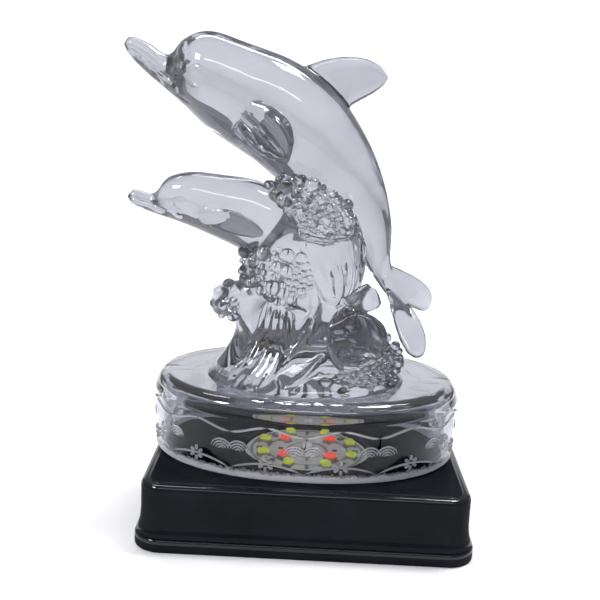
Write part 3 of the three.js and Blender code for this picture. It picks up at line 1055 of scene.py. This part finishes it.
def parting_seam():
    """The hair line where the halves of the mould met, across the plinth's top."""
    bm = bmesh.new()
    middle_y = PLINTH["centre"][1]
    low_edge = PLINTH["half_width"] - 0.6
    for side, inner in ((-1, 31), (1, 27)):
        points = [
            at(PLINTH["centre"][0] + side * reach, middle_y, height)
            for reach, height in (
                (inner, PLINTH["top"] - 0.12), (40, PLINTH["top"] - 0.12),
                (44.5, PLINTH["top"] - 0.02), (46.4, PLINTH["top"] - 1.4),
                (48.0, PLINTH["rim"]), (low_edge, 30), (low_edge - 0.2, 22),
            )
        ]
        strand(bm, points, [0.16, 0.16], 6, 60)
    return mesh_from(bm, "seam")


# ---------------------------------------------------------------- the clear moulding

def groove(points, normals, route, side_of, width, depth):
    """Presses a groove into the surface along a side-view route of (x, z) points."""
    samples = [flowing([at(x, 0, z) for x, z in route], i / 60) for i in range(61)]
    path = np.array([(p.x, p.z) for p in samples])
    near = side_of(points)
    chosen = np.nonzero(near)[0]
    flat = points[chosen][:, [0, 2]]
    distance = np.min(np.linalg.norm(flat[:, None, :] - path[None, :, :], axis=2), axis=1)
    press = depth * np.exp(-((distance / width) ** 2))
    points[chosen] -= normals[chosen] * press[:, None]


def carve_faces(mesh):
    """Mouth lines, eyes and throat creases, pressed into both sides of both heads."""
    count = len(mesh.vertices)
    points, normals = np.empty(count * 3), np.empty(count * 3)
    mesh.vertices.foreach_get("co", points)
    mesh.vertex_normals.foreach_get("vector", normals)
    points, normals = points.reshape(-1, 3), normals.reshape(-1, 3)

    def head(lane, low_x, high_x, low_z):
        def chosen(places):
            x, y, z = places.T
            return (x > low_x) & (x < high_x) & (z > low_z) & (abs(y - lane) > 0.4)
        return chosen

    big = head(BIG["lane"], -63, -30, 112)
    small = head(SMALL["lane"], -60, -34, 88)
    for route, side_of, width, depth in (
        ([(-58.7, 141.8), (-53, 138.2), (-48.5, 134.3), (-45, 131.6)], big, 0.42, 0.75),
        ([(-57.5, 139.6), (-53, 136), (-49.5, 133)], big, 0.35, 0.3),
        ([(-41.2, 134.6), (-39.5, 132.8), (-37.4, 131.6)], big, 0.3, 0.45),
        ([(-38.2, 136.2), (-37.4, 136.2)], big, 0.75, -0.55),
        ([(-44, 128.8), (-42, 127.6), (-40, 126.8)], big, 0.3, 0.35),
        ([(-56.5, 98.2), (-52, 97.6), (-48.5, 96.4), (-45.5, 95.4)], small, 0.38, 0.6),
        ([(-41.5, 98.6), (-40.8, 98.6)], small, 0.6, -0.45),
        ([(-43.6, 97.2), (-42, 96.2), (-40, 95.8)], small, 0.28, 0.35),
    ):
        groove(points, normals, route, side_of, width, depth)
    mesh.vertices.foreach_set("co", points.ravel())
    mesh.update()


def figures():
    """Both dolphins, the water and the foam's cushions, melted into one smooth surface."""
    bm = bmesh.new()
    big_dolphin(bm)
    small_dolphin(bm)
    wave(bm)
    foam_cushions(bm)
    melted = worked(
        mesh_from(bm, "figures"),
        ("REMESH", {"mode": "VOXEL", "voxel_size": VOXEL, "adaptivity": 0.0}),
        ("SMOOTH", {"factor": 0.5, "iterations": 4}),
    )
    carve_faces(melted)
    kept = min(1, FIGURES_TRIANGLES / len(melted.polygons) / 2)
    return worked(melted, ("DECIMATE", {"ratio": kept}))


def crystal():
    """The whole clear moulding. Its relief is satin, and its wall mirrors less than the rest."""
    relief_material, wall_material = 1, 2
    acrylic = [
        acrylic_finish("clear_acrylic", 0.9, 0.03, 0.84),
        acrylic_finish("satin_acrylic", 0.42, 0.25),
        acrylic_finish("wall_acrylic", 0.42, 0),
    ]
    shelf = bpy.data.collections.new("joining")
    bpy.context.scene.collection.children.link(shelf)
    plinth, relief = plinth_body(), frieze()
    for mesh in (plinth, relief):
        for material in acrylic:
            mesh.materials.append(material)
    relief.polygons.foreach_set("material_index", [relief_material] * len(relief.polygons))
    for mesh in (figures(), relief, parting_seam(), *bubbles()):
        shelf.objects.link(bpy.data.objects.new("part", mesh))
    hollow = bpy.data.objects.new("hollow", plinth_hollow())
    bpy.context.scene.collection.objects.link(hollow)
    union = {"operation": "UNION", "solver": "MANIFOLD", "operand_type": "COLLECTION"}
    whole = worked(
        plinth,
        ("BOOLEAN", {**union, "collection": shelf}),
        ("BOOLEAN", {"operation": "DIFFERENCE", "solver": "MANIFOLD", "object": hollow}),
    )
    for part in list(shelf.objects) + [hollow]:
        bpy.data.objects.remove(part)
    bpy.data.collections.remove(shelf)
    bm = bmesh.new()
    bm.from_mesh(whole)
    for face in bm.faces:
        if face.material_index == 0 and face.calc_center_median().z < PLINTH["rim"]:
            face.material_index = wall_material
    mesh = mesh_from(bm, "crystal_sculpture", placed=True)
    finished("crystal_sculpture", mesh, acrylic, ["crystal_dolphins"])


# ---------------------------------------------------------------- room, lights and camera

def floor():
    """A pale paper sweep: flat under the ornament, then rising behind it."""
    reach, bend, rise = 1.35, 0.25, 0.66
    rounded = [i / 12 * math.pi / 2 for i in range(13)]
    path = [(-0.8, 0), (0, 0), (0.6, 0)]
    path += [(reach + bend * math.sin(a), bend * (1 - math.cos(a))) for a in rounded]
    path += [(reach + bend, rise)]
    bm = bmesh.new()
    verts = [bm.verts.new((-1.0, y, z)) for y, z in path]
    edges = [bm.edges.new(pair) for pair in zip(verts, verts[1:])]
    swept = bmesh.ops.extrude_edge_only(bm, edges=edges)["geom"]
    moved = [item for item in swept if isinstance(item, bmesh.types.BMVert)]
    bmesh.ops.translate(bm, vec=(2.0, 0, 0), verts=moved)
    mesh = bpy.data.meshes.new("floor")
    bm.to_mesh(mesh)
    bm.free()
    mesh.materials.append(floor_finish())
    mesh.shade_smooth()
    plane = bpy.data.objects.new("floor", mesh)
    bpy.context.scene.collection.objects.link(plane)


def room_light():
    """A dim room: palest ahead of the camera, darker to the sides and behind it."""
    world = bpy.data.worlds.new("studio")
    bpy.context.scene.world = world
    world.use_nodes = True
    nodes, links = world.node_tree.nodes, world.node_tree.links
    direction = nodes.new("ShaderNodeTexCoord")
    split = nodes.new("ShaderNodeSeparateXYZ")
    span = nodes.new("ShaderNodeMapRange")
    span.inputs["From Min"].default_value = -1.0
    ramp = nodes.new("ShaderNodeValToRGB")
    low, high = ramp.color_ramp.elements
    low.position, low.color = 0.6, (0.24, 0.24, 0.285, 1)
    high.position, high.color = 1.0, (0.34, 0.34, 0.38, 1)
    links.new(direction.outputs["Generated"], split.inputs[0])
    links.new(split.outputs["Y"], span.inputs["Value"])
    links.new(span.outputs[0], ramp.inputs["Fac"])
    links.new(ramp.outputs["Color"], nodes["Background"].inputs["Color"])


def softbox(name, place, target, size, power):
    light = bpy.data.lights.new(name, "AREA")
    light.shape = "RECTANGLE"
    light.size, light.size_y = size
    light.energy = power
    lamp = bpy.data.objects.new(name, light)
    lamp.location = place
    lamp.rotation_euler = (Vector(target) - Vector(place)).to_track_quat("-Z", "Y").to_euler()
    bpy.context.scene.collection.objects.link(lamp)


CAMERA = {
    "place": (-2.8, -280, 131.2),
    "lens": 54.84,
    "sensor": 36,
    "yaw": math.radians(-0.38),
    "pitch": math.radians(12.76),
    "roll": math.radians(2.77),
}


def camera():
    data = bpy.data.cameras.new("camera")
    data.sensor_width = CAMERA["sensor"]
    data.lens = CAMERA["lens"]
    data.clip_start, data.clip_end = 0.01, 50
    yaw, pitch, roll = CAMERA["yaw"], CAMERA["pitch"], CAMERA["roll"]
    forward = Vector((
        math.sin(yaw) * math.cos(pitch), math.cos(yaw) * math.cos(pitch), -math.sin(pitch)
    ))
    level = Vector((math.cos(yaw), -math.sin(yaw), 0))
    upright = level.cross(forward)
    right = level * math.cos(roll) + upright * math.sin(roll)
    up = upright * math.cos(roll) - level * math.sin(roll)
    turn = Matrix((right, up, -forward)).transposed().to_4x4()
    holder = bpy.data.objects.new("camera", data)
    holder.matrix_world = Matrix.Translation(MIDDLE + Vector(CAMERA["place"]) * MM) @ turn
    bpy.context.scene.collection.objects.link(holder)
    bpy.context.scene.camera = holder


def studio():
    floor()
    room_light()
    centre = MIDDLE + Vector((0, 0, 0.07))
    softbox("key", (-0.5, -0.35, 0.6), centre, (0.14, 0.14), 3.5)
    softbox("top", (0.3, 0.15, 0.9), centre, (0.18, 0.18), 5.5)
    softbox("strip", (0, -0.9, 1.0), centre, (1.0, 0.08), 2.5)
    softbox("backdrop", (0, 0.55, 1.2), (0, 1.5, 0.1), (1.2, 0.3), 24)
    camera()
    bpy.context.scene.view_settings.view_transform = "Standard"


light_base()
circuit_board()
solder_rings()
resistors()
light_chips()
crystal()
studio()
